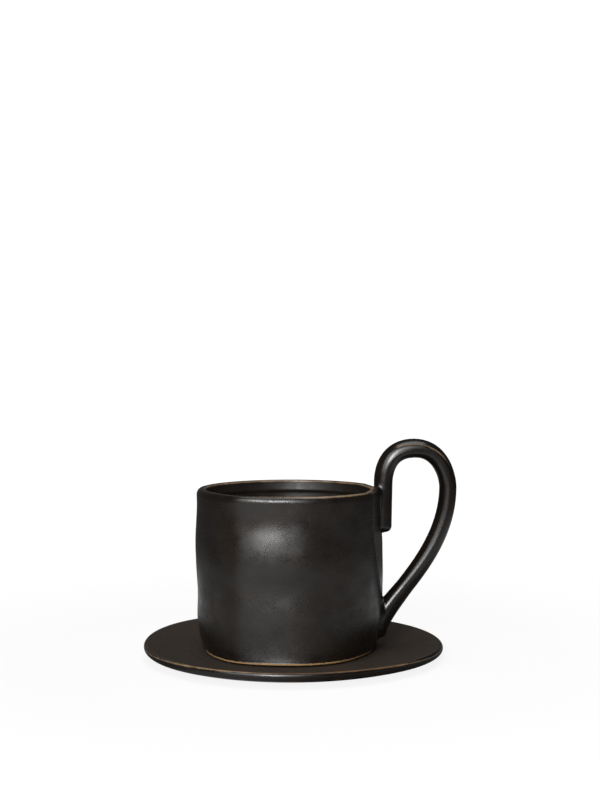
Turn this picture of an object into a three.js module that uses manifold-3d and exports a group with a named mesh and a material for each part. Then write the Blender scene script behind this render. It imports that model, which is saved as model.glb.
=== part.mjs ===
// Cup with saucer: a hand-built stoneware cup with one tall looped coil handle, on a dished slab saucer.
// Millimetres, +Z up. The origin is the middle of the saucer's underside, and the handle points along +X.

import * as THREE from 'three';
import { mergeVertices } from 'three/addons/utils/BufferGeometryUtils.js';
import Module from 'manifold-3d';

// Saucer: a round slab whose brim lifts off the table.
const SAUCER_DIAMETER = 130;
const SAUCER_THICKNESS = 3.2;
const SAUCER_EDGE_THICKNESS = 3.55;
const SAUCER_EDGE_LIFT = 2.85;
const SAUCER_EDGE_ROUND = 1.0;
const SAUCER_WANDER = 0.8;
const SAUCER_RISE = 0.7;
const SAUCER_RISE_DEGREES = 150;
const SAUCER_DROP = 0.4;
const SAUCER_DROP_DEGREES = 35;
const SEAT_MARGIN = 7.85;

// Cup wall and floor.
const CUP_OFFSET = -0.8;
const CUP_DIAMETER = 80.6;
const CUP_HEIGHT = 70.05;
const WALL_THICKNESS = 4.0;
const FOOT_TUCK = 2.75;
const FOOT_TUCK_HEIGHT = 17;
const FOOT_CHAMFER = 0.8;
const FLOOR_THICKNESS = 5.0;
const SLIP_JOINT = 0.3;

// At the front the foot flares a little instead of tucking in.
const FRONT_TUCK = -0.3;
const FRONT_DEGREES = 262;
const FRONT_SPREAD_DEGREES = 46;

// A flat that hands pressed into the wall on each side of the handle: its turn from the handle, its depth near
// the rim, the heights between which it comes in, the softness of its corners and the turns between which it ends.
const FLAT_DEGREES = 13.6;
const FLAT_DEPTH = 1.7;
const FLAT_LOW = 31;
const FLAT_HIGH = 57;
const FLAT_CORNER = 0.22;
const FLAT_FADE_DEGREES = 40;
const FLAT_END_DEGREES = 52;

// Handle: one coil, half sunk in the wall under the rim, looped over and brought back to the wall near the
// foot.
const COIL_SINK = 0.1;
const TAIL_LENGTH = 19.4;
const LOOP_START = 1.4;
const LOOP_TOP_OUT = 13.3;
const LOOP_TOP_RISE = 16.85;
const LOOP_REACH = 27.85;
const LOOP_SHOULDER = 13.9;
const LOOP_CROWN = 11.7;
const LOOP_SIDE = 4.0;
const LEG_SWEEP = 29.2;
const LEG_RUN_IN = 13.6;
const LEG_RUN_IN_DEGREES = 19.5;
const LEG_END_HEIGHT = 9.4;
const LEG_END_SINK = 2.2;

// Thickness of the coil, at shares of its length from the tail to the foot.
const COIL_TAIL = { at: 0, across: 7.75 };
const COIL_ROOT = { at: 0.2, across: 8.2 };
const COIL_RISE = { at: 0.3, across: 8.3 };
const COIL_LOOP = { at: 0.45, across: 7.45 };
const COIL_SIDE = { at: 0.62, across: 7.6 };
const COIL_LEG = { at: 0.82, across: 7.95 };
const COIL_FOOT = { at: 1, across: 10.6 };

// Where hands pressed the soft wall: degrees round from the handle, height above the foot, depth (minus is a
// bulge) and how far the press reaches across and along the wall.
const PRESSES = [
  { side: 180, up: 65, depth: 0.3, wide: 20, tall: 9 },
  { side: 182, up: 45, depth: -0.4, wide: 18, tall: 9 },
  { side: 184, up: 26, depth: 0.4, wide: 18, tall: 8 },
  { side: 262, up: 35, depth: 1.2, wide: 19, tall: 90 },
  { side: 238, up: 37, depth: -1.6, wide: 11, tall: 90 },
  { side: 238, up: 71, depth: -0.8, wide: 9, tall: 7 },
  { side: 257, up: 60, depth: 1.05, wide: 24, tall: 9 },
  { side: 260, up: 42, depth: -0.6, wide: 26, tall: 9 },
  { side: 256, up: 32, depth: 0.25, wide: 22, tall: 7 },
  { side: 264, up: 17, depth: -0.2, wide: 24, tall: 8 },
  { side: 302, up: 47, depth: 0.6, wide: 12, tall: 16 },
  { side: 222, up: 45, depth: 0.5, wide: 11, tall: 15 },
  { side: 120, up: 53, depth: 0.6, wide: 15, tall: 10 },
  { side: 95, up: 34, depth: -0.5, wide: 16, tall: 9 },
  { side: 62, up: 49, depth: 0.6, wide: 13, tall: 11 },
  { side: 142, up: 31, depth: 0.5, wide: 14, tall: 9 },
];

// Heights about the foot between which the presses come in.
const PRESS_LOW = -8;
const PRESS_HIGH = 5;

// Fineness of the faceted surfaces.
const TURN_STEPS = 64;
const COIL_SIDES = 16;
const COIL_STEPS = 58;
const SHORT_CURVE_STEPS = 3;
const LONG_CURVE_STEPS = 5;
const WALL_STEPS = 8;
const BALL_STEPS = 12;

const saucerRadius = SAUCER_DIAMETER / 2;
const cupRadius = CUP_DIAMETER / 2;
const footRadius = cupRadius - FOOT_TUCK;
const seatRadius = footRadius + Math.abs(CUP_OFFSET) + SEAT_MARGIN;
const wallLine = CUP_OFFSET + cupRadius - COIL_SINK;
const rim = SAUCER_THICKNESS + CUP_HEIGHT;

const wasm = await Module();
wasm.setup();

function toManifold(geometry) {
  const bare = geometry.clone();
  bare.deleteAttribute('normal');
  bare.deleteAttribute('uv');
  const merged = mergeVertices(bare);
  return new wasm.Manifold(new wasm.Mesh({
    numProp: 3,
    vertProperties: new Float32Array(merged.attributes.position.array),
    triVerts: new Uint32Array(merged.index.array),
  }));
}

function fromManifold(solid) {
  const mesh = solid.getMesh();
  const geometry = new THREE.BufferGeometry();
  geometry.setAttribute('position', new THREE.BufferAttribute(new Float32Array(mesh.vertProperties), 3));
  geometry.setIndex(new THREE.BufferAttribute(new Uint32Array(mesh.triVerts), 1));
  geometry.computeVertexNormals();
  return geometry;
}

// Points of a straight run, without its first point.
function run(from, to, steps) {
  return Array.from({ length: steps }, (_, i) => from.clone().lerp(to, (i + 1) / steps));
}

// Turns a profile of (radius, height) points about +Z, then moves each point out and up by hand-made waves.
function turned(profile, outBy, upBy) {
  const geometry = new THREE.LatheGeometry(profile, TURN_STEPS);
  geometry.rotateX(Math.PI / 2);
  const position = geometry.attributes.position;
  for (let i = 0; i < position.count; i += 1) {
    const radius = Math.hypot(position.getX(i), position.getY(i));
    const angle = Math.atan2(position.getY(i), position.getX(i));
    const up = position.getZ(i);
    const moved = radius + outBy(angle, radius, up);
    position.setXYZ(i, moved * Math.cos(angle), moved * Math.sin(angle), up + upBy(angle, radius));
  }
  return geometry;
}

const still = () => 0;

// The turn in radians from a side in degrees to an angle, between minus and plus half a turn.
function turnFrom(degrees, angle) {
  const turn = angle - THREE.MathUtils.degToRad(degrees);
  return Math.atan2(Math.sin(turn), Math.cos(turn));
}

function saucerGeometry() {
  const edgeTop = SAUCER_EDGE_LIFT + SAUCER_EDGE_THICKNESS;
  const edgeIn = saucerRadius - SAUCER_EDGE_ROUND;
  const flare = (seatRadius + saucerRadius) / 2;
  const brim = (level, edge) => new THREE.QuadraticBezierCurve(
    new THREE.Vector2(seatRadius, level),
    new THREE.Vector2(flare, level),
    new THREE.Vector2(edgeIn, edge),
  ).getPoints(LONG_CURVE_STEPS);
  const corner = (from, through, to) => new THREE.QuadraticBezierCurve(from, through, to)
    .getPoints(SHORT_CURVE_STEPS).slice(1);
  const profile = [
    new THREE.Vector2(0, 0),
    ...brim(0, SAUCER_EDGE_LIFT),
    ...corner(
      new THREE.Vector2(edgeIn, SAUCER_EDGE_LIFT),
      new THREE.Vector2(saucerRadius, SAUCER_EDGE_LIFT),
      new THREE.Vector2(saucerRadius, SAUCER_EDGE_LIFT + SAUCER_EDGE_ROUND),
    ),
    new THREE.Vector2(saucerRadius, edgeTop - SAUCER_EDGE_ROUND),
    ...corner(
      new THREE.Vector2(saucerRadius, edgeTop - SAUCER_EDGE_ROUND),
      new THREE.Vector2(saucerRadius, edgeTop),
      new THREE.Vector2(edgeIn, edgeTop),
    ),
    ...brim(SAUCER_THICKNESS, edgeTop).reverse().slice(1),
    new THREE.Vector2(0, SAUCER_THICKNESS),
  ];
  const outside = (radius) => Math.max(0, (radius - seatRadius) / (saucerRadius - seatRadius));
  const towards = (degrees, angle) => Math.max(0, Math.cos(turnFrom(degrees, angle))) ** 2;
  const sway = (angle) => SAUCER_RISE * towards(SAUCER_RISE_DEGREES, angle)
    - SAUCER_DROP * towards(SAUCER_DROP_DEGREES, angle);
  return turned(
    profile,
    (angle, radius) => SAUCER_WANDER * outside(radius) * Math.cos(angle) * Math.cos(2 * angle),
    (angle, radius) => outside(radius) ** 2 * sway(angle),
  );
}

// How much a flat takes off the wall where the wall already stands out by a distance.
function flatCut(angle, up, out) {
  const turn = Math.abs(turnFrom(0, angle));
  const end = THREE.MathUtils.degToRad(FLAT_END_DEGREES);
  const away = Math.min(Math.abs(turn - THREE.MathUtils.degToRad(FLAT_DEGREES)), end);
  const depth = FLAT_DEPTH * THREE.MathUtils.smoothstep(up, FLAT_LOW, FLAT_HIGH);
  const over = cupRadius + out - (cupRadius - depth) / Math.cos(away);
  const fade = 1 - THREE.MathUtils.smoothstep(turn, THREE.MathUtils.degToRad(FLAT_FADE_DEGREES), end);
  return fade * (over + Math.hypot(over, FLAT_CORNER)) / 2;
}

// The hand-pressed waves and flats of the wall. They ease off towards the foot.
function pressed(angle, up) {
  const waves = PRESSES.reduce((sum, press) => {
    const across = cupRadius * turnFrom(press.side, angle) / press.wide;
    const along = (up - press.up) / press.tall;
    return sum - press.depth * Math.exp(-across * across - along * along);
  }, 0);
  return THREE.MathUtils.smoothstep(up, PRESS_LOW, PRESS_HIGH) * (waves - flatCut(angle, up, waves));
}

// How far the wall is tucked in at a height above the foot.
function tuckAt(up) {
  return FOOT_TUCK * Math.max(0, 1 - up / FOOT_TUCK_HEIGHT) ** 2;
}

// How far hands moved the turned wall out at an angle and a height above the foot.
function wallShift(angle, up) {
  const turn = turnFrom(FRONT_DEGREES, angle) / THREE.MathUtils.degToRad(FRONT_SPREAD_DEGREES);
  const lessTuck = (1 - FRONT_TUCK / FOOT_TUCK) * tuckAt(up) * Math.exp(-turn * turn);
  return pressed(angle, up) + lessTuck;
}

// The wall's face from the foot to the start of the lip, moved out by a distance.
function wallFace(out) {
  const tuck = Array.from({ length: LONG_CURVE_STEPS + 1 }, (_, i) => {
    const up = THREE.MathUtils.lerp(FOOT_CHAMFER, FOOT_TUCK_HEIGHT, i / LONG_CURVE_STEPS);
    return new THREE.Vector2(cupRadius - tuckAt(up) + out, up);
  });
  const waist = tuck[LONG_CURVE_STEPS];
  const lip = new THREE.Vector2(cupRadius + out, CUP_HEIGHT - WALL_THICKNESS / 2);
  return [...tuck, ...run(waist, lip, WALL_STEPS)];
}

// The rounded lip from its outer to its inner side, with its round made larger by a distance.
function lipArc(grow, toAngle) {
  const middle = cupRadius - WALL_THICKNESS / 2;
  const level = CUP_HEIGHT - WALL_THICKNESS / 2;
  return new THREE.EllipseCurve(
    middle, level, WALL_THICKNESS / 2 + grow, WALL_THICKNESS / 2 + grow, 0, toAngle, false,
  ).getPoints(2 * SHORT_CURVE_STEPS).slice(1);
}

function wallGeometry() {
  const outer = wallFace(0);
  const inner = wallFace(-WALL_THICKNESS).reverse();
  const start = new THREE.Vector2(footRadius - FOOT_CHAMFER, 0);
  const profile = [
    start,
    ...outer,
    ...lipArc(0, Math.PI),
    ...inner.slice(1),
    new THREE.Vector2(footRadius - WALL_THICKNESS, 0),
    start.clone(),
  ];
  return turned(profile, (angle, radius, up) => wallShift(angle, up), still)
    .translate(CUP_OFFSET, 0, SAUCER_THICKNESS);
}

// The floor's edge follows the inside of the wall.
function floorGeometry() {
  const edge = [0, FLOOR_THICKNESS / 2, FLOOR_THICKNESS].map(
    (up) => new THREE.Vector2(cupRadius - tuckAt(up) - WALL_THICKNESS - SLIP_JOINT, up),
  );
  const profile = [new THREE.Vector2(0, 0), ...edge, new THREE.Vector2(0, FLOOR_THICKNESS)];
  return turned(profile, (angle, radius, up) => (radius > 0 ? wallShift(angle, up) : 0), still)
    .translate(CUP_OFFSET, 0, SAUCER_THICKNESS);
}

// The filled cup, larger all round by the slip joint. The coil is cut back to it where it meets the wall.
function cupEnvelope() {
  const profile = [
    new THREE.Vector2(0, 0),
    new THREE.Vector2(footRadius + SLIP_JOINT, 0),
    ...wallFace(SLIP_JOINT),
    ...lipArc(SLIP_JOINT, Math.PI / 2),
    new THREE.Vector2(0, CUP_HEIGHT + SLIP_JOINT),
  ];
  const onWall = (radius) => radius > footRadius - WALL_THICKNESS;
  return turned(profile, (angle, radius, up) => (onWall(radius) ? wallShift(angle, up) : 0), still)
    .translate(CUP_OFFSET, 0, SAUCER_THICKNESS);
}

function handleLine() {
  const at = (x, z) => new THREE.Vector3(x, 0, z);
  const tail = at(wallLine, rim - TAIL_LENGTH + COIL_TAIL.across / 2);
  const bend = at(wallLine, rim + LOOP_START);
  const top = at(wallLine + LOOP_TOP_OUT, rim + LOOP_TOP_RISE);
  const side = at(wallLine + LOOP_REACH, rim);
  const foot = at(wallLine - LEG_END_SINK, SAUCER_THICKNESS + LEG_END_HEIGHT);
  const slope = THREE.MathUtils.degToRad(LEG_RUN_IN_DEGREES);
  const line = new THREE.CurvePath();
  line.add(new THREE.LineCurve3(tail, bend));
  line.add(new THREE.CubicBezierCurve3(
    bend,
    at(bend.x, bend.z + LOOP_START),
    at(top.x - LOOP_SHOULDER, top.z),
    top,
  ));
  line.add(new THREE.CubicBezierCurve3(
    top,
    at(top.x + LOOP_CROWN, top.z),
    at(side.x, side.z + LOOP_SIDE),
    side,
  ));
  line.add(new THREE.CubicBezierCurve3(
    side,
    at(side.x, side.z - LEG_SWEEP),
    at(foot.x + LEG_RUN_IN * Math.sin(slope), foot.z + LEG_RUN_IN * Math.cos(slope)),
    foot,
  ));
  return line;
}

function coilRadius(share) {
  const stations = [COIL_TAIL, COIL_ROOT, COIL_RISE, COIL_LOOP, COIL_SIDE, COIL_LEG, COIL_FOOT];
  const next = Math.max(1, stations.findIndex((station) => station.at >= share));
  const from = stations[next - 1];
  const to = stations[next];
  return THREE.MathUtils.lerp(from.across, to.across, (share - from.at) / (to.at - from.at)) / 2;
}

function handleGeometry() {
  const line = handleLine();
  const ring = new THREE.Shape(Array.from({ length: COIL_SIDES }, (_, i) => {
    const angle = 2 * Math.PI * i / COIL_SIDES;
    return new THREE.Vector2(Math.cos(angle), Math.sin(angle));
  }));
  const settings = { steps: COIL_STEPS, extrudePath: line, bevelEnabled: false };
  const coil = new THREE.ExtrudeGeometry(ring, settings);
  const centres = line.getSpacedPoints(COIL_STEPS);
  const position = coil.attributes.position;
  const point = new THREE.Vector3();
  for (let i = 0; i < position.count; i += 1) {
    point.fromBufferAttribute(position, i);
    const away = centres.map((centre) => centre.distanceToSquared(point));
    const step = away.indexOf(Math.min(...away));
    const radius = coilRadius(step / COIL_STEPS);
    point.sub(centres[step]).multiplyScalar(radius).add(centres[step]);
    position.setXYZ(i, point.x, point.y, point.z);
  }
  const ball = (share) => {
    const centre = line.getPoint(share);
    return new THREE.SphereGeometry(coilRadius(share), COIL_SIDES, BALL_STEPS)
      .translate(centre.x, centre.y, centre.z);
  };
  const whole = toManifold(coil).add(toManifold(ball(0))).add(toManifold(ball(1)));
  return fromManifold(whole.subtract(toManifold(cupEnvelope())));
}

const cupGlaze = { color: 0x2a2725, roughness: 0.38, metalness: 0 };
const saucerGlaze = { color: 0x2d2926, roughness: 0.5, metalness: 0 };

const pieces = [
  ['saucer', saucerGeometry(), saucerGlaze],
  ['cup_wall', wallGeometry(), cupGlaze],
  ['cup_floor', floorGeometry(), cupGlaze],
  ['handle', handleGeometry(), cupGlaze],
];

const cupWithSaucer = new THREE.Group();
for (const [name, geometry, finish] of pieces) {
  const piece = new THREE.Mesh(geometry, new THREE.MeshStandardMaterial(finish));
  piece.name = name;
  cupWithSaucer.add(piece);
}

export default cupWithSaucer;
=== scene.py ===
"""Cup with saucer in black stoneware: a hand-pressed cup with a looped coil handle, on a dished slab saucer.

Lengths are in millimetres and are turned to metres where a mesh is made. Angles round the cup start at the
handle (+X) and run counter-clockwise seen from above, so the side that faces the camera is at 270 degrees.
"""

import math

import bpy
import numpy as np
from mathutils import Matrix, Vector, noise


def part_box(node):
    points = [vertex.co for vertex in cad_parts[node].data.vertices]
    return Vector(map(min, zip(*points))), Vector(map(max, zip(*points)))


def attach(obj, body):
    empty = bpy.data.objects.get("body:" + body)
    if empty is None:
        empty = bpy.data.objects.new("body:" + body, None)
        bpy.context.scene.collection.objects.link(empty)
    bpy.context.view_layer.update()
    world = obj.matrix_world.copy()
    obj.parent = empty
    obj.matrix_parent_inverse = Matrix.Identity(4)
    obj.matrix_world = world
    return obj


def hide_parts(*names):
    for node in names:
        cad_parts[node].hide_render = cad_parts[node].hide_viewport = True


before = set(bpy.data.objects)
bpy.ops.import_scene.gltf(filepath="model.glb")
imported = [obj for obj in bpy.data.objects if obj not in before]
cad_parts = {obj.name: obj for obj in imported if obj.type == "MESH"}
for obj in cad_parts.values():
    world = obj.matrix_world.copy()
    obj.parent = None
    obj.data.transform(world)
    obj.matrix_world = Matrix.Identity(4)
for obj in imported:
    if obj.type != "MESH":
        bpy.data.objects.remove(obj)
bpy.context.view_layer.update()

MM = 0.001
MERGE_DISTANCE = 0.01
CAMERA_SIDE_DEGREES = 270

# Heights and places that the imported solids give
WALL_LOW, WALL_HIGH = (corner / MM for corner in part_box("cup_wall"))
FLOOR_LOW, FLOOR_HIGH = (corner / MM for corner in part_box("cup_floor"))
SEAT = WALL_LOW.z
RIM = WALL_HIGH.z
CUP_HEIGHT = RIM - SEAT
CUP_AXIS_X = (FLOOR_LOW.x + FLOOR_HIGH.x) / 2
FLOOR_TOP = FLOOR_HIGH.z - SEAT

# Cup wall
CUP_RADIUS = 40.3
WALL_THICKNESS = 4.0
INNER_RADIUS = CUP_RADIUS - WALL_THICKNESS
INSIDE_MARGIN = 1.0
FLOOR_FILLET = 5.0
CUP_TURN_STEPS = 256

# Lip, which is lower at the front than at the back, and the ring that the fingers left inside below it
LIP_ROLL_OUT = 1.8
LIP_ROLL_DOWN = 2.8
LIP_INNER_ROUND = 0.6
LIP_FLARE = 0.2
LIP_FRONT_DROP = 0.5
RING_DROP = 4.6
RING_SHOULDER = 2.4
RING_CREST = 0.5
RING_PROUD = 0.25
RING_ROUND = 0.1
RING_UNDERCUT = 0.45
RING_UNDERCUT_DROP = 0.9
RING_HOLLOW = 0.35
RING_HOLLOW_DROP = 2.5
RING_FADE = 7.0

# Foot: a hollow under the floor, a ring that stands on the saucer and a gap that runs in under its edge
FOOT_TUCK = 2.75
FOOT_TUCK_HEIGHT = 17.0
FOOT_HOLLOW = 0.5
FOOT_HOLLOW_ROUND = 2.0
FOOT_HOLLOW_PULL = 0.6
FOOT_RING_WIDTH = 12.0
FOOT_UNDERCUT = 8.0
FOOT_GAP = 0.85
FOOT_EDGE = 0.2
FOOT_MARGIN = 0.5
# The glaze ends in a bead above a band of bare clay
GLAZE_END = 1.6
GLAZE_BEAD = 0.3
GLAZE_BEAD_OUT = 0.05
GLAZE_BEAD_HEIGHT = 0.45
# It ran down over the clay at the foot's two sides: how far, and where in degrees from the camera's side
GLAZE_RUN = 1.5
GLAZE_RUN_SIDE = 100
GLAZE_RUN_SPREAD = 26
GLAZE_RUN_MARGIN = 0.02
# At the front the foot flares out where it tucks in elsewhere: its middle, spread in radians and tuck
FLARE_DEGREES = 262
FLARE_SPREAD = 0.92
FLARE_TUCK = -0.8
FLARE_RADII = (20, 36)

# Hand presses in the wall: side in degrees, height above the foot, depth (plus is in), width and height
PRESSES = [
    (180, 65, 0.3, 20, 9),
    (182, 45, -0.4, 18, 9),
    (184, 26, 0.4, 18, 8),
    (262, 35, 1.2, 19, 90),
    (238, 37, -1.6, 11, 90),
    (238, 71, -0.8, 9, 7),
    (257, 60, 1.05, 24, 9),
    (260, 42, -0.6, 26, 9),
    (256, 32, 0.42, 22, 7),
    (264, 17, -0.2, 24, 8),
    (302, 47, 0.6, 12, 16),
    (222, 45, 0.5, 11, 15),
    (120, 53, 0.6, 15, 10),
    (95, 34, -0.5, 16, 9),
    (62, 49, 0.6, 13, 11),
    (142, 31, 0.5, 14, 9),
]
# Heights above the foot between which the presses come in
PRESS_FADE = (-8.0, 5.0)
# Short waves all over the wall: length and size, and the heights between which they come in
WAVES = ((13, 0.17), (7, 0.065))
WAVE_FADE = (0, 6)
# Flats pressed into the wall on either side of the handle, with angles in radians
FLAT_TURN = math.radians(13.6)
FLAT_DEPTH = 1.7
FLAT_HEIGHTS = (31.0, 57.0)
FLAT_CORNER = 0.22
FLAT_LEAN_MOST = 1.2
FLAT_FADE = (0.9, 0.7)

# Where the glaze broke over the lip's crest and not only along its inner edge, with its spread in radians
LIP_BREAK_IN = 0.35
LIP_BREAK_WIDTH = 2.4
LIP_BREAK_DEGREES = 298
LIP_BREAK_SPREAD = 1.15
# How far below the lip the break lies at the front, how much lower at the back, and how much thinner there
LIP_BREAK_DROP = 0.15
LIP_BREAK_BACK_DROP = 0.35
LIP_BREAK_BACK_THIN = 0.75
# A lump of slip left on the lip where the coil joins it
LUMP_DEGREES = -7.5
LUMP_REACH = 2.7
LUMP_HEIGHT = 1.25
LUMP_OUT = 0.4
LUMP_FALL = 2.5 * LUMP_REACH

# Saucer
SAUCER_RADIUS = 64.98
SAUCER_THICKNESS = SEAT
SAUCER_SEAT_RADIUS = 46.2
SAUCER_EDGE_LIFT = 2.85
SAUCER_EDGE_TOP = 6.4
SAUCER_CREST_IN = 0.3
SAUCER_CREST_DOWN = 0.03
SAUCER_SHOULDER_OUT = 0.9
SAUCER_SHOULDER_DOWN = 1.5
SAUCER_UNDER_ROUND = 1.2
SAUCER_UNDER_DEGREES = -80
SAUCER_TURN_STEPS = 256
# How the slab's edge wanders from a circle, rises at one side and drops at another
SAUCER_WANDER = 0.8
SAUCER_RISE = 0.7
SAUCER_RISE_DEGREES = 150
SAUCER_DROP = 0.4
SAUCER_DROP_DEGREES = 35
# How much the edge thins above and below at its two ends, how sharply and over what height
SAUCER_NOSE = 0.45
SAUCER_NOSE_POWER = 12
SAUCER_NOSE_HEIGHT = 1.5
# A shallow ring from trimming, round the cup's place
TRIM_RING_RADIUS = 43.4
TRIM_RING_DEPTH = 0.14
TRIM_RING_WIDTH = 1.1
TRIM_RING_ZONE = 10.0
# The thin glaze on the upper edge: how far it turns down the shoulder at the two ends, thins and fades there
EDGE_BREAK_IN = 0.1
EDGE_BREAK_TURN_DEGREES = 85
EDGE_BREAK_POWER = 1.5
EDGE_BREAK_THIN = 0.5
EDGE_BREAK_HANDLE_THIN = 0.3
EDGE_BREAK_FADE = 0.24
# The thin glaze on the lower edge
LOW_BREAK_IN = 0.25
LOW_BREAK_UP = 0.25
LOW_BREAK_THIN = 1.5
LOW_BREAK_FADE = 0.3
# Height up to which the underside is bare, and how far a face looks up on the matt top
SAUCER_BARE = 0.02
SAUCER_FACING_UP = 0.5

# Coil of the handle: its line in the plane of the handle, as offsets from the rim and the wall
COIL_SINK = 0.1
WALL_LINE = CUP_AXIS_X + CUP_RADIUS - COIL_SINK
TAIL_LENGTH = 19.4
LOOP_START = 1.4
LOOP_TOP_OUT = 13.3
LOOP_TOP_RISE = 16.85
LOOP_REACH = 27.85
LOOP_SHOULDER = 13.9
LOOP_CROWN = 11.7
LOOP_SIDE = 4.0
LEG_SWEEP = 29.2
LEG_RUN_IN = 13.6
LEG_RUN_IN_DEGREES = 19.5
LEG_END_HEIGHT = 9.4
LEG_END_SINK = 2.2
LEG_PAST_END = 0.42
TAIL_STEPS = 200
LOOP_STEPS = 300
LEG_STEPS = 600
LEG_END_STEPS = 60
# Width across the coil, by share of its length
COIL_ACROSS = {0.0: 7.6, 0.2: 8.05, 0.3: 8.15, 0.45: 7.3, 0.62: 7.45, 0.82: 7.8, 1.0: 10.4}
COIL_SIDES = 48
COIL_STEP = 0.8
COIL_END_ROUND = 3.0
COIL_END_RINGS = 9
COIL_END_START = 0.12
COIL_END_SQUARENESS = 2.6
# How far the fingers pressed the coil oval, by share of its length: plus leans the long axis in at the front
OVAL = {0.1: 0.0, 0.17: 0.09, 0.32: 0.07, 0.4: -0.08, 0.5: -0.09, 0.66: -0.08, 0.82: 0.03, 0.97: 0.06}
# How much deeper the leg gets towards its end, and between which shares of the length
LEG_FLARE = 0.4
LEG_FLARE_PLACES = (0.84, 1.0)
# A ridge along the loop: its side of the coil in degrees from outward to the front, by share of the length
RIDGE_SIDE = {0.2: 40, 0.26: 52, 0.31: 60, 0.36: 62, 0.44: 50, 0.55: 30, 0.7: 24}
RIDGE_START = (0.17, 0.27)
RIDGE_END = (0.66, 0.4)
# The flats that the fingers pressed on either side of the ridge, with angles in degrees
RIDGE_FLAT_DEPTH = 0.18
RIDGE_FLAT_SIDE = 34
RIDGE_FLAT_WIDTH = 17
# The thin glaze on the ridge
RIDGE_BREAK_FADE = 0.2
RIDGE_BREAK_THIN = 1.25
# Reach of the smeared clay beside the coil, by height above the foot
SMEAR = {0: 1.0, 23: 1.0, 31: 0.5, 59: 0.5, 67: 1.5, 73: 1.7, 77: 0.9}
SMEAR_SLOPE_LEAST = 0.3

# What a measure says far from a thin edge, and far from the bare clay
UNBROKEN = 12
GLAZED_OVER = 20
# Depths below the rim between which the glaze inside the cup gets thick and dull
POOLED_DEPTH = (0.3, 2.0)

# Glaze: clouds of iron, patches of gloss, pits and the ragged end of the glaze, by their real sizes
CLOUD_SIZE = 16
PATCH_SIZE = 5
PIT_SPACING = 5.5
RAGGED_SIZE = 1.4
# Where in the clouds the glaze turns warm, and how wide a pit is as a share of the spacing
CLOUD_WARM = (0.5, 0.72)
PIT_WIDTH = (0.05, 0.035)
# How the thin glaze fades from an edge, and how the patches make its line wander
BREAK_FADE = (0.6, 0.0)
BREAK_WANDER = 0.9
BREAK_WANDER_MIDDLE = -0.3
# Height at which the clay shows below the glaze, with the ragged end's share of it
CLAY_END = (1.92, 1.84)
CLAY_RAGGED = 0.7
# How much rougher the clay and the pooled glaze are
CLAY_DULL = 0.4
POOLED_DULL = 0.16
GRAIN_SPAN = (0.3, 0.7)

# Stage, in metres
PAPER_COLOUR = "#747473"
PAPER_SIZE = 2.4
PAPER_SWEEP = 0.5
PAPER_SWEEP_STEPS = 24
PAPER_GLOW = 0.88
SHADOW_REACH = (0.12, 0.5)
# Painted light that only the glaze's reflections see on the paper: a painted pool of light round the saucer,
# painted shade next to the saucer, and a painted strip of light towards the lamp
PAPER_IN_GLAZE = 0.02
POOL_IN_GLAZE = 0.75
POOL_MIDDLE = (0.03, -0.03, 0.0)
POOL_REACH = (0.34, 0.14)
POOL_SHADE = (0.09, 0.17)
BEAM_IN_GLAZE = 0.5
BEAM_FROM = (-0.42, -0.91, 0.0)
BEAM_ACROSS = (0.91, -0.42, 0.0)
BEAM_START = (0.02, 0.08)
BEAM_SPREAD = (0.8, 0.1)
# Soft lamps: place, size and power, all turned to one point of the cup
SOFTBOXES = {
    "front_softbox": ((-0.282, -0.784, 0.460), (1.0, 0.6), 5.6),
    "front_core": ((-0.190, -0.824, 0.320), (0.22, 0.18), 3.6),
    "overhead_softbox": ((0, -0.02, 0.95), (0.7, 0.7), 4.2),
}
LAMP_AIM = (0, 0, 0.05)
ROOM_LIGHT = 0.04
# Camera that was fitted to the photograph
SENSOR_WIDTH = 36
LENS_LENGTH = 61.26
LENS_SHIFT = (0.0105, 0.1905)
EYE = (0, -0.58357, 0.12794)
LOOK_AT = (0, 0, 0.045)


def smooth(value, low, high):
    """Runs from 0 at low to 1 at high with soft ends."""
    share = np.clip((value - low) / (high - low), 0, 1)
    return share * share * (3 - 2 * share)


def wrapped(angle):
    """An angle in radians brought between minus and plus half a turn."""
    return (angle + math.pi) % (2 * math.pi) - math.pi


def read_off(table, place):
    """The value of a table at each place, on straight lines between its entries."""
    return np.interp(place, list(table), list(table.values()))


def straight(start, end, steps):
    """Points of a straight line, with the first point left out."""
    shares = np.linspace(0, 1, steps + 1)[1:]
    return [tuple(a + (b - a) * t for a, b in zip(start, end)) for t in shares]


def arc(middle, across, down, start, end, steps):
    """Points of an elliptical arc from one angle to another, in degrees, with the first point left out."""
    turns = np.radians(np.linspace(start, end, steps + 1)[1:])
    return [(middle[0] + across * math.cos(t), middle[1] + down * math.sin(t)) for t in turns]


def bend(start, pull, end, steps):
    """Points of a quadratic curve, with the first point left out."""
    points = []
    for t in np.linspace(0, 1, steps + 1)[1:]:
        weights = ((1 - t) ** 2, 2 * t * (1 - t), t * t)
        points.append(tuple(np.dot(weights, places) for places in zip(start, pull, end)))
    return points


def cubic(points, steps):
    """Points of a cubic curve, with the first point left out."""
    t = np.linspace(0, 1, steps + 1)[1:, None]
    a, b, c, d = (np.array(p) for p in points)
    return (1 - t) ** 3 * a + 3 * t * (1 - t) ** 2 * b + 3 * t * t * (1 - t) * c + t ** 3 * d


def deselect_all():
    """Leaves nothing selected, so that the next operator acts on its own piece."""
    bpy.ops.object.select_all(action="DESELECT")


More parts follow.
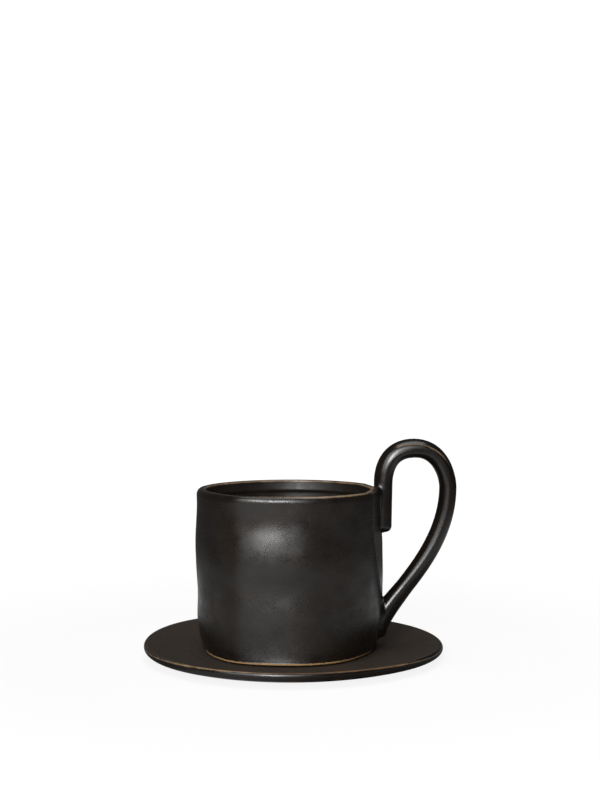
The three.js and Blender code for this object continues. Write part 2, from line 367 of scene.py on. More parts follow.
def turned(name, outline, steps):
    """A closed shell: an outline of radius and height, drawn from one vertex and spun round the Z axis."""
    deselect_all()
    bpy.ops.mesh.primitive_plane_add(size=MM)
    piece = bpy.context.object
    piece.name = name
    bpy.ops.object.mode_set(mode="EDIT")
    bpy.ops.mesh.select_all(action="SELECT")
    bpy.ops.mesh.merge(type="CENTER")
    bpy.ops.transform.translate(value=(outline[0][0] * MM, 0, outline[0][1] * MM))
    for here, there in zip(outline, outline[1:]):
        step = ((there[0] - here[0]) * MM, 0, (there[1] - here[1]) * MM)
        bpy.ops.mesh.extrude_region_move(TRANSFORM_OT_translate={"value": step})
    bpy.ops.mesh.select_all(action="SELECT")
    bpy.ops.mesh.spin(steps=steps, angle=2 * math.pi, center=(0, 0, 0), axis=(0, 0, 1))
    bpy.ops.mesh.select_all(action="SELECT")
    bpy.ops.mesh.remove_doubles(threshold=MERGE_DISTANCE * MM)
    bpy.ops.mesh.normals_make_consistent(inside=False)
    bpy.ops.object.mode_set(mode="OBJECT")
    bpy.ops.object.shade_smooth()
    return piece


def points_of(piece):
    """The piece's vertices in millimetres, one row each."""
    flat = np.empty(len(piece.data.vertices) * 3)
    piece.data.vertices.foreach_get("co", flat)
    return flat.reshape(-1, 3) / MM


def set_points(piece, points):
    """Puts the piece's vertices at these places in millimetres."""
    piece.data.vertices.foreach_set("co", (points * MM).ravel())
    piece.data.update()


def set_measure(piece, name, values):
    """Keeps one number per vertex under a name that materials read."""
    measure = piece.data.attributes.new(name, "FLOAT", "POINT")
    measure.data.foreach_set("value", np.asarray(values, dtype=np.float32))


def cup_outline():
    """The cup's section from under its middle, up the outside, over the lip and down to the floor."""
    foot = CUP_RADIUS - FOOT_TUCK
    inner = INNER_RADIUS
    clay = foot - GLAZE_BEAD
    ring = foot - FOOT_RING_WIDTH
    gap = clay - FOOT_UNDERCUT
    edge = (clay - FOOT_EDGE, FOOT_GAP - FOOT_EDGE / 4)
    bead = (foot + GLAZE_BEAD_OUT, GLAZE_END + GLAZE_BEAD_HEIGHT)
    lip_low = CUP_HEIGHT - LIP_ROLL_DOWN
    lip_edge = inner + LIP_FLARE
    lip_round = (lip_edge + LIP_INNER_ROUND, CUP_HEIGHT - LIP_INNER_ROUND)
    crest = inner - RING_PROUD
    crest_up = CUP_HEIGHT - RING_DROP
    crest_top = (crest, crest_up + RING_CREST)
    crest_low = (crest + RING_UNDERCUT, crest_up - RING_UNDERCUT_DROP)
    ring_end = (inner, crest_up - RING_FADE)
    corner = (inner - FLOOR_FILLET, FLOOR_TOP + FLOOR_FILLET)
    points = [(0.0, FOOT_HOLLOW)]
    points += straight(points[-1], (ring - FOOT_HOLLOW_ROUND, FOOT_HOLLOW), 8)
    points += bend(points[-1], (ring - FOOT_HOLLOW_PULL, FOOT_HOLLOW), (ring, 0.0), 4)
    points += straight(points[-1], (gap, 0.0), 2)
    points += bend(points[-1], (gap, FOOT_GAP - FOOT_EDGE / 2), edge, 5)
    points += straight(points[-1], (clay, FOOT_GAP), 1)
    points += straight(points[-1], (clay, GLAZE_END), 2)
    points += bend(points[-1], (foot, GLAZE_END), bead, 4)
    points += bend(points[-1], (CUP_RADIUS, FOOT_TUCK_HEIGHT / 2), (CUP_RADIUS, FOOT_TUCK_HEIGHT), 18)
    points += straight(points[-1], (CUP_RADIUS, lip_low), 60)
    points += arc((CUP_RADIUS - LIP_ROLL_OUT, lip_low), LIP_ROLL_OUT, LIP_ROLL_DOWN, 0, 90, 16)
    points += straight(points[-1], (lip_round[0], CUP_HEIGHT), 1)
    points += arc(lip_round, LIP_INNER_ROUND, LIP_INNER_ROUND, 90, 180, 6)
    points += bend(points[-1], (lip_edge - RING_ROUND, crest_up + RING_SHOULDER), crest_top, 8)
    points += bend(points[-1], (crest - RING_ROUND, crest_up), crest_low, 6)
    points += bend(points[-1], (inner + RING_HOLLOW, crest_up - RING_HOLLOW_DROP), ring_end, 8)
    points += straight(points[-1], (inner, corner[1]), 32)
    points += arc(corner, FLOOR_FILLET, FLOOR_FILLET, 0, -90, 10)
    points += straight(points[-1], (0.0, FLOOR_TOP), 8)
    return points


def outer_radius(up):
    """The unpressed wall's outer radius at a height above the foot."""
    outline = np.array(cup_outline())
    outward = outline[:, 0] > CUP_RADIUS - FOOT_TUCK - FOOT_MARGIN
    below_lip = outline[:, 1] < CUP_HEIGHT - LIP_ROLL_DOWN
    wall = outline[outward & below_lip]
    return np.interp(up, wall[:, 1], wall[:, 0])


def pressed(angle, up):
    """How far the hands moved the wall out at each angle and height above the foot."""
    moved = np.zeros_like(angle)
    for side, height, depth, wide, tall in PRESSES:
        across = CUP_RADIUS * wrapped(angle - math.radians(side)) / wide
        along = (up - height) / tall
        moved = moved - depth * np.exp(-across * across - along * along)
    moved = moved * smooth(up, *PRESS_FADE)
    turn = np.abs(wrapped(angle))
    flat_distance = CUP_RADIUS - FLAT_DEPTH * smooth(up, *FLAT_HEIGHTS)
    lean = np.minimum(np.abs(turn - FLAT_TURN), FLAT_LEAN_MOST)
    over = CUP_RADIUS + moved - flat_distance / np.cos(lean)
    cut = 0.5 * (over + np.sqrt(over * over + FLAT_CORNER ** 2)) * smooth(turn, *FLAT_FADE)
    return moved - cut * smooth(up, *PRESS_FADE)


def off_lip_break(radius, angle, up):
    """How far each point is from the line on the lip where the glaze broke."""
    crest_in = INNER_RADIUS + LIP_BREAK_IN
    bare_crest = np.exp(-(wrapped(angle - math.radians(LIP_BREAK_DEGREES)) / LIP_BREAK_SPREAD) ** 2)
    crest_out = crest_in + LIP_BREAK_WIDTH * bare_crest
    off_crest = radius - np.clip(radius, crest_in, crest_out)
    behind = (1 + np.sin(angle)) / 2
    drop = LIP_BREAK_DROP + LIP_BREAK_BACK_DROP * behind
    return np.hypot(off_crest, up - CUP_HEIGHT + drop) * (1 + LIP_BREAK_BACK_THIN * behind)


def above_clay(angle, up):
    """The height above the foot, with more on the clay at the two sides where the glaze ran over it."""
    aside = np.abs(np.degrees(wrapped(angle - math.radians(CAMERA_SIDE_DEGREES))))
    run = GLAZE_RUN * np.exp(-((aside - GLAZE_RUN_SIDE) / GLAZE_RUN_SPREAD) ** 4)
    return np.maximum(up, 0) + run * (up > FOOT_GAP - GLAZE_RUN_MARGIN)


def make_cup():
    """The cup's wall and floor as one glazed piece."""
    cup = turned("cup", cup_outline(), CUP_TURN_STEPS)
    points = points_of(cup)
    radius = np.hypot(points[:, 0], points[:, 1])
    angle = np.arctan2(points[:, 1], points[:, 0])
    up = points[:, 2].copy()
    inside = (radius < INNER_RADIUS + INSIDE_MARGIN) & (up > FLOOR_TOP - INSIDE_MARGIN)
    set_measure(cup, "edge_mm", off_lip_break(radius, angle, up))
    set_measure(cup, "foot_mm", np.where(inside, GLAZED_OVER, above_clay(angle, up)))
    set_measure(cup, "pooled", inside * smooth(CUP_HEIGHT - up, *POOLED_DEPTH))
    moved = pressed(angle, up)
    for length, size in WAVES:
        waves = np.array([noise.noise(Vector(point) / length) for point in points])
        moved = moved + size * waves * smooth(up, *WAVE_FADE)
    moved = moved * np.clip(radius / INNER_RADIUS, 0, 1) ** 4
    front = np.exp(-(wrapped(angle - math.radians(FLARE_DEGREES)) / FLARE_SPREAD) ** 4)
    tuck = (CUP_RADIUS - outer_radius(up)) * ~inside * smooth(radius, *FLARE_RADII)
    aside = CUP_RADIUS * wrapped(angle - math.radians(LUMP_DEGREES)) / LUMP_REACH
    lump = LUMP_HEIGHT * np.exp(-aside * aside) * smooth(up, CUP_HEIGHT - LUMP_FALL, CUP_HEIGHT)
    radius = radius + moved + (1 - FLARE_TUCK / FOOT_TUCK) * front * tuck + LUMP_OUT * lump
    front_drop = LIP_FRONT_DROP * (1 - np.sin(angle)) / 2 * smooth(up, CUP_HEIGHT / 2, CUP_HEIGHT)
    height = up + SEAT - front_drop + lump
    set_points(cup, np.column_stack((CUP_AXIS_X + radius * np.cos(angle), radius * np.sin(angle), height)))
    return cup


def saucer_outline():
    """The saucer's section from the middle of its underside, round the lifted edge and back to the middle."""
    middle = (SAUCER_SEAT_RADIUS + SAUCER_RADIUS) / 2
    shoulder = SAUCER_RADIUS - SAUCER_SHOULDER_OUT
    shoulder_low = SAUCER_EDGE_TOP - SAUCER_SHOULDER_DOWN
    under = SAUCER_RADIUS - SAUCER_UNDER_ROUND
    under_round = (under, SAUCER_EDGE_LIFT + SAUCER_UNDER_ROUND)
    crest = (shoulder - SAUCER_CREST_IN, SAUCER_EDGE_TOP - SAUCER_CREST_DOWN)
    points = [(0.0, 0.0)]
    points += straight(points[-1], (SAUCER_SEAT_RADIUS, 0.0), 10)
    points += bend(points[-1], (middle, 0.0), (under, SAUCER_EDGE_LIFT), 14)
    points += arc(under_round, SAUCER_UNDER_ROUND, SAUCER_UNDER_ROUND, SAUCER_UNDER_DEGREES, 0, 6)
    points += straight(points[-1], (SAUCER_RADIUS, shoulder_low), 2)
    points += arc((shoulder, shoulder_low), SAUCER_SHOULDER_OUT, SAUCER_SHOULDER_DOWN, 0, 90, 10)
    points += straight(points[-1], crest, 1)
    points += bend(points[-1], (middle, SAUCER_THICKNESS), (SAUCER_SEAT_RADIUS, SAUCER_THICKNESS), 18)
    points += straight(points[-1], (SAUCER_SEAT_RADIUS - TRIM_RING_ZONE, SAUCER_THICKNESS), 20)
    points += straight(points[-1], (0.0, SAUCER_THICKNESS), 8)
    return points


def off_saucer_break(radius, angle, height):
    """How far each point is from the lines of thin glaze on the saucer's upper and lower edge."""
    ends = np.abs(np.cos(angle)) ** EDGE_BREAK_POWER
    turn = np.radians(EDGE_BREAK_TURN_DEGREES) * ends
    top_out = SAUCER_RADIUS - EDGE_BREAK_IN - SAUCER_SHOULDER_OUT * (1 - np.sin(turn))
    top_up = SAUCER_EDGE_TOP - SAUCER_SHOULDER_DOWN * (1 - np.cos(turn))
    to_top = np.hypot(radius - top_out, height - top_up)
    thinner = 1 + EDGE_BREAK_THIN * ends + EDGE_BREAK_HANDLE_THIN * ends * (np.cos(angle) > 0)
    low_edge = (SAUCER_RADIUS - LOW_BREAK_IN, SAUCER_EDGE_LIFT + LOW_BREAK_UP)
    to_low = np.hypot(radius - low_edge[0], height - low_edge[1])
    return np.minimum(EDGE_BREAK_FADE * ends + to_top * thinner, LOW_BREAK_FADE + LOW_BREAK_THIN * to_low)


def make_saucer():
    """The saucer as one glazed piece."""
    saucer = turned("saucer_dish", saucer_outline(), SAUCER_TURN_STEPS)
    points = points_of(saucer)
    radius = np.hypot(points[:, 0], points[:, 1])
    angle = np.arctan2(points[:, 1], points[:, 0])
    height = points[:, 2].copy()
    set_measure(saucer, "edge_mm", off_saucer_break(radius, angle, height))
    set_measure(saucer, "foot_mm", np.where(height < SAUCER_BARE, 0, GLAZED_OVER))
    trim = np.exp(-((radius - TRIM_RING_RADIUS) / TRIM_RING_WIDTH) ** 2)
    height = height - TRIM_RING_DEPTH * trim * (height > SAUCER_THICKNESS / 2)
    outside = np.clip((radius - SAUCER_SEAT_RADIUS) / (SAUCER_RADIUS - SAUCER_SEAT_RADIUS), 0, None)
    edge_level = (SAUCER_EDGE_TOP + SAUCER_EDGE_LIFT) / 2
    level = SAUCER_THICKNESS / 2 + (edge_level - SAUCER_THICKNESS / 2) * outside ** 2
    above = 2 * smooth(height - level, -SAUCER_NOSE_HEIGHT, SAUCER_NOSE_HEIGHT) - 1
    nose = SAUCER_NOSE * np.cos(angle) ** SAUCER_NOSE_POWER * np.clip(outside, 0, 1) ** 3
    rise = SAUCER_RISE * np.clip(np.cos(angle - math.radians(SAUCER_RISE_DEGREES)), 0, 1) ** 2
    drop = SAUCER_DROP * np.clip(np.cos(angle - math.radians(SAUCER_DROP_DEGREES)), 0, 1) ** 2
    height = height - nose * above + (rise - drop) * outside ** 2
    radius = radius + SAUCER_WANDER * outside * np.cos(angle) * np.cos(2 * angle)
    set_points(saucer, np.column_stack((radius * np.cos(angle), radius * np.sin(angle), height)))
    return saucer


def coil_line():
    """The coil's middle line as fine (x, z) points from tail to leg, with the length up to each point."""
    lean = math.radians(LEG_RUN_IN_DEGREES)
    tail = (WALL_LINE, RIM - TAIL_LENGTH)
    start = (WALL_LINE, RIM + LOOP_START)
    top = (WALL_LINE + LOOP_TOP_OUT, RIM + LOOP_TOP_RISE)
    side = (WALL_LINE + LOOP_REACH, RIM)
    end = (WALL_LINE - LEG_END_SINK, SEAT + LEG_END_HEIGHT)
    run_in = (end[0] + LEG_RUN_IN * math.sin(lean), end[1] + LEG_RUN_IN * math.cos(lean))
    past_end = LEG_PAST_END * COIL_ACROSS[1.0]
    foot = (end[0] - past_end * math.sin(lean), end[1] - past_end * math.cos(lean))
    fine = np.vstack((
        np.array([tail]),
        np.linspace(tail, start, TAIL_STEPS)[1:],
        cubic((start, (start[0], start[1] + LOOP_START), (top[0] - LOOP_SHOULDER, top[1]), top), LOOP_STEPS),
        cubic((top, (top[0] + LOOP_CROWN, top[1]), (side[0], side[1] + LOOP_SIDE), side), LOOP_STEPS),
        cubic((side, (side[0], side[1] - LEG_SWEEP), run_in, end), LEG_STEPS),
        np.linspace(end, foot, LEG_END_STEPS)[1:],
    ))
    along = np.concatenate(([0], np.cumsum(np.hypot(*np.diff(fine, axis=0).T))))
    return fine, along


def end_round(from_end):
    """How much of the coil's width is there at a distance from its end: a squarish rounded tip."""
    share = np.clip(from_end / COIL_END_ROUND, 0, 1)
    return (1 - (1 - share) ** COIL_END_SQUARENESS) ** (1 / COIL_END_SQUARENESS)


def coil_stations():
    """Middle, direction, width and share of the length at each ring that the coil is extruded through."""
    fine, along = coil_line()
    length = along[-1]
    half_step = COIL_STEP / 2
    first = COIL_END_ROUND + half_step
    near_end = COIL_END_ROUND * (1 - np.cos(np.linspace(COIL_END_START, 1, COIL_END_RINGS) * math.pi / 2))
    inner = np.linspace(first, length - first, round(length / COIL_STEP))
    places = np.concatenate((near_end, inner, length - near_end[::-1]))
    middles, ahead, behind = (
        np.column_stack([np.interp(places + shift, along, fine[:, k]) for k in (0, 1)])
        for shift in (0, half_step, -half_step))
    lean = np.unwrap(np.arctan2(*(ahead - behind).T))
    width = read_off(COIL_ACROSS, places / length) * end_round(np.minimum(places, length - places))
    return middles, lean, width, places / length


def wall_gap(points):
    """How far each point is outside the cup's wall and lip, and the wall's outward direction there."""
    x, y = points[:, 0] - CUP_AXIS_X, points[:, 1]
    up = points[:, 2] - SEAT
    angle = np.arctan2(y, x)
    radius = np.hypot(x, y)
    lip_low = CUP_HEIGHT - LIP_ROLL_DOWN
    wall = outer_radius(np.minimum(up, lip_low)) + pressed(angle, np.minimum(up, lip_low))
    above = np.clip(up - lip_low, 0, None) * LIP_ROLL_OUT / LIP_ROLL_DOWN
    gap = np.hypot(np.clip(radius - wall + LIP_ROLL_OUT, 0, None), above) - LIP_ROLL_OUT
    return gap, np.column_stack((np.cos(angle), np.sin(angle), np.zeros_like(angle)))


def smeared_on_wall(points, normals):
    """Spreads the coil's foot where it touches the wall, as clay that was smeared on with a finger."""
    gap, outward = wall_gap(points)
    reach = read_off(SMEAR, points[:, 2] - SEAT)
    along = normals - outward * np.sum(normals * outward, axis=1, keepdims=True)
    length = np.linalg.norm(along, axis=1, keepdims=True)
    short = np.clip(reach - gap, 0, reach)
    spread = reach - np.sqrt(reach * reach - short * short)
    return points + along / np.maximum(length, SMEAR_SLOPE_LEAST) * spread[:, None]


def coil_tube(middles, lean, width):
    """A disc at the tail's end, extruded, turned and scaled from ring to ring along the coil's line."""
    deselect_all()
    bpy.ops.mesh.primitive_circle_add(vertices=COIL_SIDES, radius=width[0] / 2 * MM, fill_type="NGON")
    piece = bpy.context.object
    piece.name = "coil_handle"
    bpy.ops.object.mode_set(mode="EDIT")
    bpy.ops.mesh.select_all(action="SELECT")
    bpy.ops.transform.translate(value=(middles[0][0] * MM, 0, middles[0][1] * MM))
    for k in range(1, len(width)):
        step = (middles[k] - middles[k - 1]) * MM
        centre = (middles[k][0] * MM, 0, middles[k][1] * MM)
        grow = width[k] / width[k - 1]
        bpy.ops.mesh.extrude_region_move(TRANSFORM_OT_translate={"value": (step[0], 0, step[1])})
        bpy.ops.transform.rotate(value=lean[k - 1] - lean[k], orient_axis="Y", center_override=centre)
        bpy.ops.transform.resize(value=(grow, grow, grow), center_override=centre)
    bpy.ops.mesh.select_all(action="SELECT")
    bpy.ops.mesh.normals_make_consistent(inside=False)
    bpy.ops.object.mode_set(mode="OBJECT")
    bpy.ops.object.shade_smooth()
    return piece


def make_handle():
    """The coil as one glazed piece, with the fingers' ridge and flats, and smeared on to the wall."""
    middles, lean, width, shares = coil_stations()
    handle = coil_tube(middles, lean, width)
    points = points_of(handle)
    ring = np.arange(len(points)) // COIL_SIDES
    lean = lean[ring]
    share = shares[ring]
    off = points - np.column_stack((middles[ring, 0], np.zeros(len(points)), middles[ring, 1]))
    reach = np.linalg.norm(off, axis=1)
    outward = np.column_stack((-np.cos(lean), np.zeros_like(lean), np.sin(lean)))
    off_outward = np.sum(off * outward, axis=1)
    side = np.degrees(np.arccos(np.clip(off_outward / reach, -1, 1)))
    from_ridge = side - read_off(RIDGE_SIDE, share)
    ridged = smooth(share, *RIDGE_START) * smooth(share, *RIDGE_END) * (off[:, 1] < 0)
    flats = (RIDGE_FLAT_SIDE, -RIDGE_FLAT_SIDE)
    beside = sum(np.exp(-((from_ridge - flat) / RIDGE_FLAT_WIDTH) ** 2) for flat in flats)
    points = points - off / reach[:, None] * (RIDGE_FLAT_DEPTH * ridged * beside)[:, None]
    off_ridge = RIDGE_BREAK_FADE + RIDGE_BREAK_THIN * np.radians(np.abs(from_ridge)) * reach
    set_measure(handle, "edge_mm", off_ridge + UNBROKEN * (1 - ridged))
    set_measure(handle, "foot_mm", np.full(len(points), GLAZED_OVER))
    backward = np.array([0.0, 1.0, 0.0])
    leaned = off[:, 1:2] * outward + off_outward[:, None] * backward
    points = points + read_off(OVAL, share)[:, None] * leaned
    points[:, 1] = points[:, 1] * (1 + LEG_FLARE * smooth(share, *LEG_FLARE_PLACES) ** 2)
    normals = np.empty(len(points) * 3)
    handle.data.vertices.foreach_get("normal", normals)
    set_points(handle, smeared_on_wall(points, normals.reshape(-1, 3)))
    return handle


def linear(colour):
    """An sRGB hex colour as linear red, green, blue and alpha."""
    parts = [int(colour[k:k + 2], 16) / 255 for k in (1, 3, 5)]
    return tuple(p / 12.92 if p <= 0.04045 else ((p + 0.055) / 1.055) ** 2.4 for p in parts) + (1.0,)


def add_node(tree, kind, inputs=None, **settings):
    """Adds a node with its settings; an input that is a socket is linked, and any other is set."""
    made = tree.nodes.new(kind)
    for name, value in settings.items():
        setattr(made, name, value)
    for name, value in (inputs or {}).items():
        if isinstance(value, bpy.types.NodeSocket):
            tree.links.new(value, made.inputs[name])
        else:
            made.inputs[name].default_value = value
    return made


def per_metre(size):
    """The texture scale at which a pattern repeats about once in this many millimetres."""
    return 1 / (size * MM)


def glazed_stoneware(name, glaze, warm, broken, clay, speck, ior, roughness, swing, grain_mm, grain_height):
    """Stoneware under a thin iron-black glaze: cloudy, pitted, brown on edges, with bare clay below it."""
    material = bpy.data.materials.new(name)
    material.use_nodes = True
    tree = material.node_tree
    tree.nodes.clear()
    place = add_node(tree, "ShaderNodeTexCoord").outputs["Object"]
    cloud, patchy, ragged, grain = (
        add_node(tree, "ShaderNodeTexNoise", {"Vector": place, "Scale": per_metre(size), "Detail": detail})
        for size, detail in ((CLOUD_SIZE, 3.0), (PATCH_SIZE, 3.0), (RAGGED_SIZE, 3.0), (grain_mm, 2.0)))
    pits = add_node(tree, "ShaderNodeTexVoronoi", {
        "Vector": place, "Scale": per_metre(PIT_SPACING), "Randomness": 1.0})
    edge, foot, pooled = (
        add_node(tree, "ShaderNodeAttribute", attribute_name=measure).outputs["Fac"]
        for measure in ("edge_mm", "foot_mm", "pooled"))
    warmth = add_node(tree, "ShaderNodeMapRange", {
        "Value": cloud.outputs["Fac"], "From Min": CLOUD_WARM[0], "From Max": CLOUD_WARM[1]})
    pit = add_node(tree, "ShaderNodeMapRange", {
        "Value": pits.outputs["Distance"], "From Min": PIT_WIDTH[0], "From Max": PIT_WIDTH[1]})
    wander = add_node(tree, "ShaderNodeMath", {
        0: patchy.outputs["Fac"], 1: BREAK_WANDER, 2: BREAK_WANDER_MIDDLE}, operation="MULTIPLY_ADD")
    thin = add_node(tree, "ShaderNodeMath", {0: edge, 1: wander.outputs[0]}, operation="SUBTRACT")
    worn = add_node(tree, "ShaderNodeMapRange", {
        "Value": thin.outputs[0], "From Min": BREAK_FADE[0], "From Max": BREAK_FADE[1]})
    raw = add_node(tree, "ShaderNodeMath", {
        0: ragged.outputs["Fac"], 1: CLAY_RAGGED, 2: foot}, operation="MULTIPLY_ADD")
    bare = add_node(tree, "ShaderNodeMapRange", {
        "Value": raw.outputs[0], "From Min": CLAY_END[0], "From Max": CLAY_END[1]})
    colour = linear(glaze)
    for cover, tone in ((warmth, warm), (pit, speck), (worn, broken), (bare, clay)):
        mixed = add_node(tree, "ShaderNodeMix", {
            0: cover.outputs["Result"], 6: colour, 7: linear(tone)}, data_type="RGBA")
        colour = mixed.outputs[2]
    fine = add_node(tree, "ShaderNodeMapRange", {
        "Value": grain.outputs["Fac"], "From Min": GRAIN_SPAN[0], "From Max": GRAIN_SPAN[1],
        "To Min": roughness - 3 * swing, "To Max": roughness - swing})
    dull = fine.outputs["Result"]
    duller = ((patchy.outputs["Fac"], 4 * swing), (bare.outputs["Result"], CLAY_DULL), (pooled, POOLED_DULL))
    for cover, more in duller:
        added = add_node(tree, "ShaderNodeMath", {0: cover, 1: more, 2: dull}, operation="MULTIPLY_ADD")
        dull = added.outputs[0]
    bump = add_node(tree, "ShaderNodeBump", {
        "Height": grain.outputs["Fac"], "Distance": grain_height * MM, "Strength": 1.0})
    surface = add_node(tree, "ShaderNodeBsdfPrincipled", {
        "Base Color": colour, "Roughness": dull, "IOR": ior, "Normal": bump.outputs["Normal"]},
        distribution="GGX")
    add_node(tree, "ShaderNodeOutputMaterial", {"Surface": surface.outputs["BSDF"]})
    return material


def make_floor():
    """A sheet of paper that lies under the object and sweeps up behind it."""
    deselect_all()
    bpy.ops.mesh.primitive_plane_add(size=PAPER_SIZE)
    floor = bpy.context.object
    floor.name = "floor"
    for edge in floor.data.edges:
        edge.select = all(floor.data.vertices[v].co.y > 0 for v in edge.vertices)
    bpy.ops.object.mode_set(mode="EDIT")
    bpy.ops.mesh.select_mode(type="EDGE")
    bpy.ops.mesh.extrude_region_move(TRANSFORM_OT_translate={"value": (0, 0, PAPER_SIZE)})
    bpy.ops.object.mode_set(mode="OBJECT")
    for edge in floor.data.edges:
        ends = [floor.data.vertices[v].co for v in edge.vertices]
        edge.select = all(end.y > 0 and end.z == 0 for end in ends)
    bpy.ops.object.mode_set(mode="EDIT")
    bpy.ops.mesh.bevel(offset=PAPER_SWEEP, segments=PAPER_SWEEP_STEPS)
    bpy.ops.object.mode_set(mode="OBJECT")
    bpy.ops.object.shade_smooth()
    return floor


def studio_paper():
    """Matt studio paper, which the camera sees white round the object's soft shadow.

    Its glow in the glaze's reflections is painted light: a painted pool of light round the saucer with
    painted shade next to it, and a painted strip of light towards the front lamp; dim elsewhere, as in a dark
    room with one lit set.
    """
    material = bpy.data.materials.new("studio_paper")
    material.use_nodes = True
    tree = material.node_tree
    tree.nodes.clear()
    place = add_node(tree, "ShaderNodeTexCoord").outputs["Object"]
    path = add_node(tree, "ShaderNodeLightPath")
    distance = add_node(tree, "ShaderNodeVectorMath", {0: place}, operation="LENGTH").outputs["Value"]
    far = add_node(tree, "ShaderNodeMapRange", {
        "Value": distance, "From Min": SHADOW_REACH[0], "From Max": SHADOW_REACH[1],
        "To Min": PAPER_GLOW, "To Max": 1.0})
    # Painted strip of light towards the front lamp, which only the glaze's reflections see
    forward = add_node(tree, "ShaderNodeVectorMath", {0: place, 1: BEAM_FROM}, operation="DOT_PRODUCT")
    across = add_node(tree, "ShaderNodeVectorMath", {0: place, 1: BEAM_ACROSS}, operation="DOT_PRODUCT")
    aside = add_node(tree, "ShaderNodeMath", {0: across.outputs["Value"]}, operation="ABSOLUTE")
    spread = add_node(tree, "ShaderNodeMath", {
        0: aside.outputs[0], 1: forward.outputs["Value"]}, operation="DIVIDE")
    lit = add_node(tree, "ShaderNodeMapRange", {
        "Value": forward.outputs["Value"], "From Min": BEAM_START[0], "From Max": BEAM_START[1],
        "To Max": BEAM_IN_GLAZE}, interpolation_type="SMOOTHSTEP")
    beam = add_node(tree, "ShaderNodeMapRange", {
        "Value": spread.outputs[0], "From Min": BEAM_SPREAD[0], "From Max": BEAM_SPREAD[1]},
        interpolation_type="SMOOTHSTEP")
    # Painted pool of light round the saucer, with painted shade next to the saucer
    reach = add_node(tree, "ShaderNodeVectorMath", {0: place, 1: POOL_MIDDLE}, operation="DISTANCE")
    pool = add_node(tree, "ShaderNodeMapRange", {
        "Value": reach.outputs["Value"], "From Min": POOL_REACH[0], "From Max": POOL_REACH[1],
        "To Min": PAPER_IN_GLAZE, "To Max": POOL_IN_GLAZE}, interpolation_type="SMOOTHSTEP")
    shade = add_node(tree, "ShaderNodeMapRange", {
        "Value": distance, "From Min": POOL_SHADE[0], "From Max": POOL_SHADE[1]},
        interpolation_type="SMOOTHSTEP")
    shaded_pool = add_node(tree, "ShaderNodeMath", {
        0: pool.outputs["Result"], 1: shade.outputs["Result"]}, operation="MULTIPLY")
    # All the painted light that the glaze's reflections see on the paper: the strip plus the shaded pool
    painted_glow_in_glaze = add_node(tree, "ShaderNodeMath", {
        0: lit.outputs["Result"], 1: beam.outputs["Result"], 2: shaded_pool.outputs[0]},
        operation="MULTIPLY_ADD")
    straight_on = add_node(tree, "ShaderNodeMath", {
        0: path.outputs["Is Camera Ray"], 1: path.outputs["Is Transmission Ray"]}, operation="MAXIMUM")
    seen = add_node(tree, "ShaderNodeMath", {
        0: path.outputs["Is Glossy Ray"], 1: painted_glow_in_glaze.outputs[0], 2: straight_on.outputs[0]},
        operation="MULTIPLY_ADD")
    strength = add_node(tree, "ShaderNodeMath", {
        0: far.outputs["Result"], 1: seen.outputs[0]}, operation="MULTIPLY")
    paper = add_node(tree, "ShaderNodeBsdfDiffuse", {"Color": linear(PAPER_COLOUR)})
    glow = add_node(tree, "ShaderNodeEmission", {"Strength": strength.outputs[0]})
    both = add_node(tree, "ShaderNodeAddShader", {0: paper.outputs[0], 1: glow.outputs[0]})
    add_node(tree, "ShaderNodeOutputMaterial", {"Surface": both.outputs[0]})
    return material


def place_towards(name, content, place, aim):
    """Puts a lamp or a camera at a place and turns it to a point, both in metres."""
    holder = bpy.data.objects.new(name, content)
    holder.location = place
    holder.rotation_euler = (Vector(aim) - Vector(place)).to_track_quat("-Z", "Y").to_euler()
    bpy.context.scene.collection.objects.link(holder)
    return holder


def add_softbox(name, place, size, power):
    """A rectangular soft lamp, turned to the cup."""
    light = bpy.data.lights.new(name, "AREA")
    light.shape = "RECTANGLE"
    light.size, light.size_y = size
    light.energy = power
    place_towards(name, light, place, LAMP_AIM)


def add_camera():
    """The camera at the photograph's viewing angle."""
    lens = bpy.data.cameras.new("camera")
    lens.sensor_width = SENSOR_WIDTH
    lens.lens = LENS_LENGTH
    lens.shift_x, lens.shift_y = LENS_SHIFT
    bpy.context.scene.camera = place_towards("camera", lens, EYE, LOOK_AT)


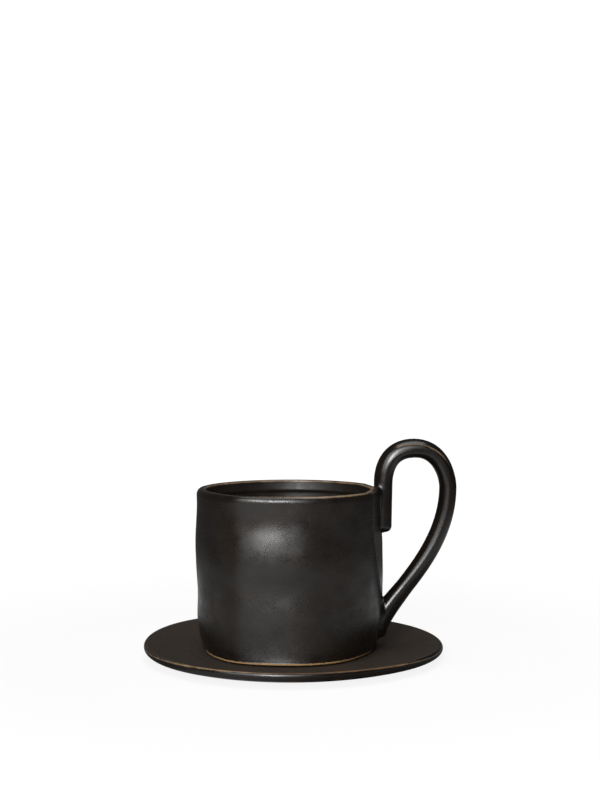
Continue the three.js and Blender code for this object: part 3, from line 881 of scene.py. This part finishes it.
def set_world():
    """An even, dim room."""
    world = bpy.data.worlds.new("studio")
    world.use_nodes = True
    background = world.node_tree.nodes["Background"]
    background.inputs["Color"].default_value = (1, 1, 1, 1)
    background.inputs["Strength"].default_value = ROOM_LIGHT
    bpy.context.scene.world = world


# A glaze's own grain is about a tenth of a millimetre, so it is drawn several times as coarse to show.
# Satin black with brown clouds, a grainy soft sheen and a brown line where it thins on the lip
cup_glaze = glazed_stoneware(
    "satin_black_glaze", glaze="#16110d", warm="#1f1811", broken="#8b755b", clay="#98784f", speck="#0a0908",
    ior=1.5, roughness=0.3, swing=0.07, grain_mm=0.5, grain_height=0.028)
# Smoother and glossier on the rolled coil and the saucer's edge, where clear streaks of light run along them
coil_glaze = glazed_stoneware(
    "glossy_black_glaze", glaze="#110d0a", warm="#1c140d", broken="#8b755b", clay="#98784f", speck="#0a0908",
    ior=1.5, roughness=0.24, swing=0.02, grain_mm=0.9, grain_height=0.004)
# Dull brown-black on top of the saucer, with pale pits and next to no shine; its colour, lighter than the
# cup's, is partly the matt glaze's own and partly painted sheen
saucer_glaze = glazed_stoneware(
    "matt_black_glaze", glaze="#322b25", warm="#382e25", broken="#6c4f31", clay="#98784f", speck="#4a443e",
    ior=1.35, roughness=0.66, swing=0.05, grain_mm=0.6, grain_height=0.09)

cup = make_cup()
handle = make_handle()
saucer = make_saucer()

for piece, material, body, slot in (
    (cup, cup_glaze, "cup", "cup_glaze"),
    (handle, coil_glaze, "cup", "cup_glaze"),
    (saucer, saucer_glaze, "saucer", "saucer_glaze"),
):
    piece.data.materials.append(material)
    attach(piece, body)
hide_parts("cup_wall", "cup_floor")
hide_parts("handle")
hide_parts("saucer")

# The saucer's top has the matt glaze, lighter partly as painted sheen, and its edge and underside the glossy
# one
saucer.data.materials.append(coil_glaze)
matt_reach = SAUCER_RADIUS - SAUCER_SHOULDER_OUT - SAUCER_CREST_IN + SAUCER_WANDER
for face in saucer.data.polygons:
    reach = math.hypot(face.center.x, face.center.y) / MM
    face.material_index = 0 if face.normal.z > SAUCER_FACING_UP and reach < matt_reach else 1

floor = make_floor()
floor.data.materials.append(studio_paper())
for name, (place, size, power) in SOFTBOXES.items():
    add_softbox(name, place, size, power)
set_world()
add_camera()
bpy.context.scene.view_settings.view_transform = "Standard"
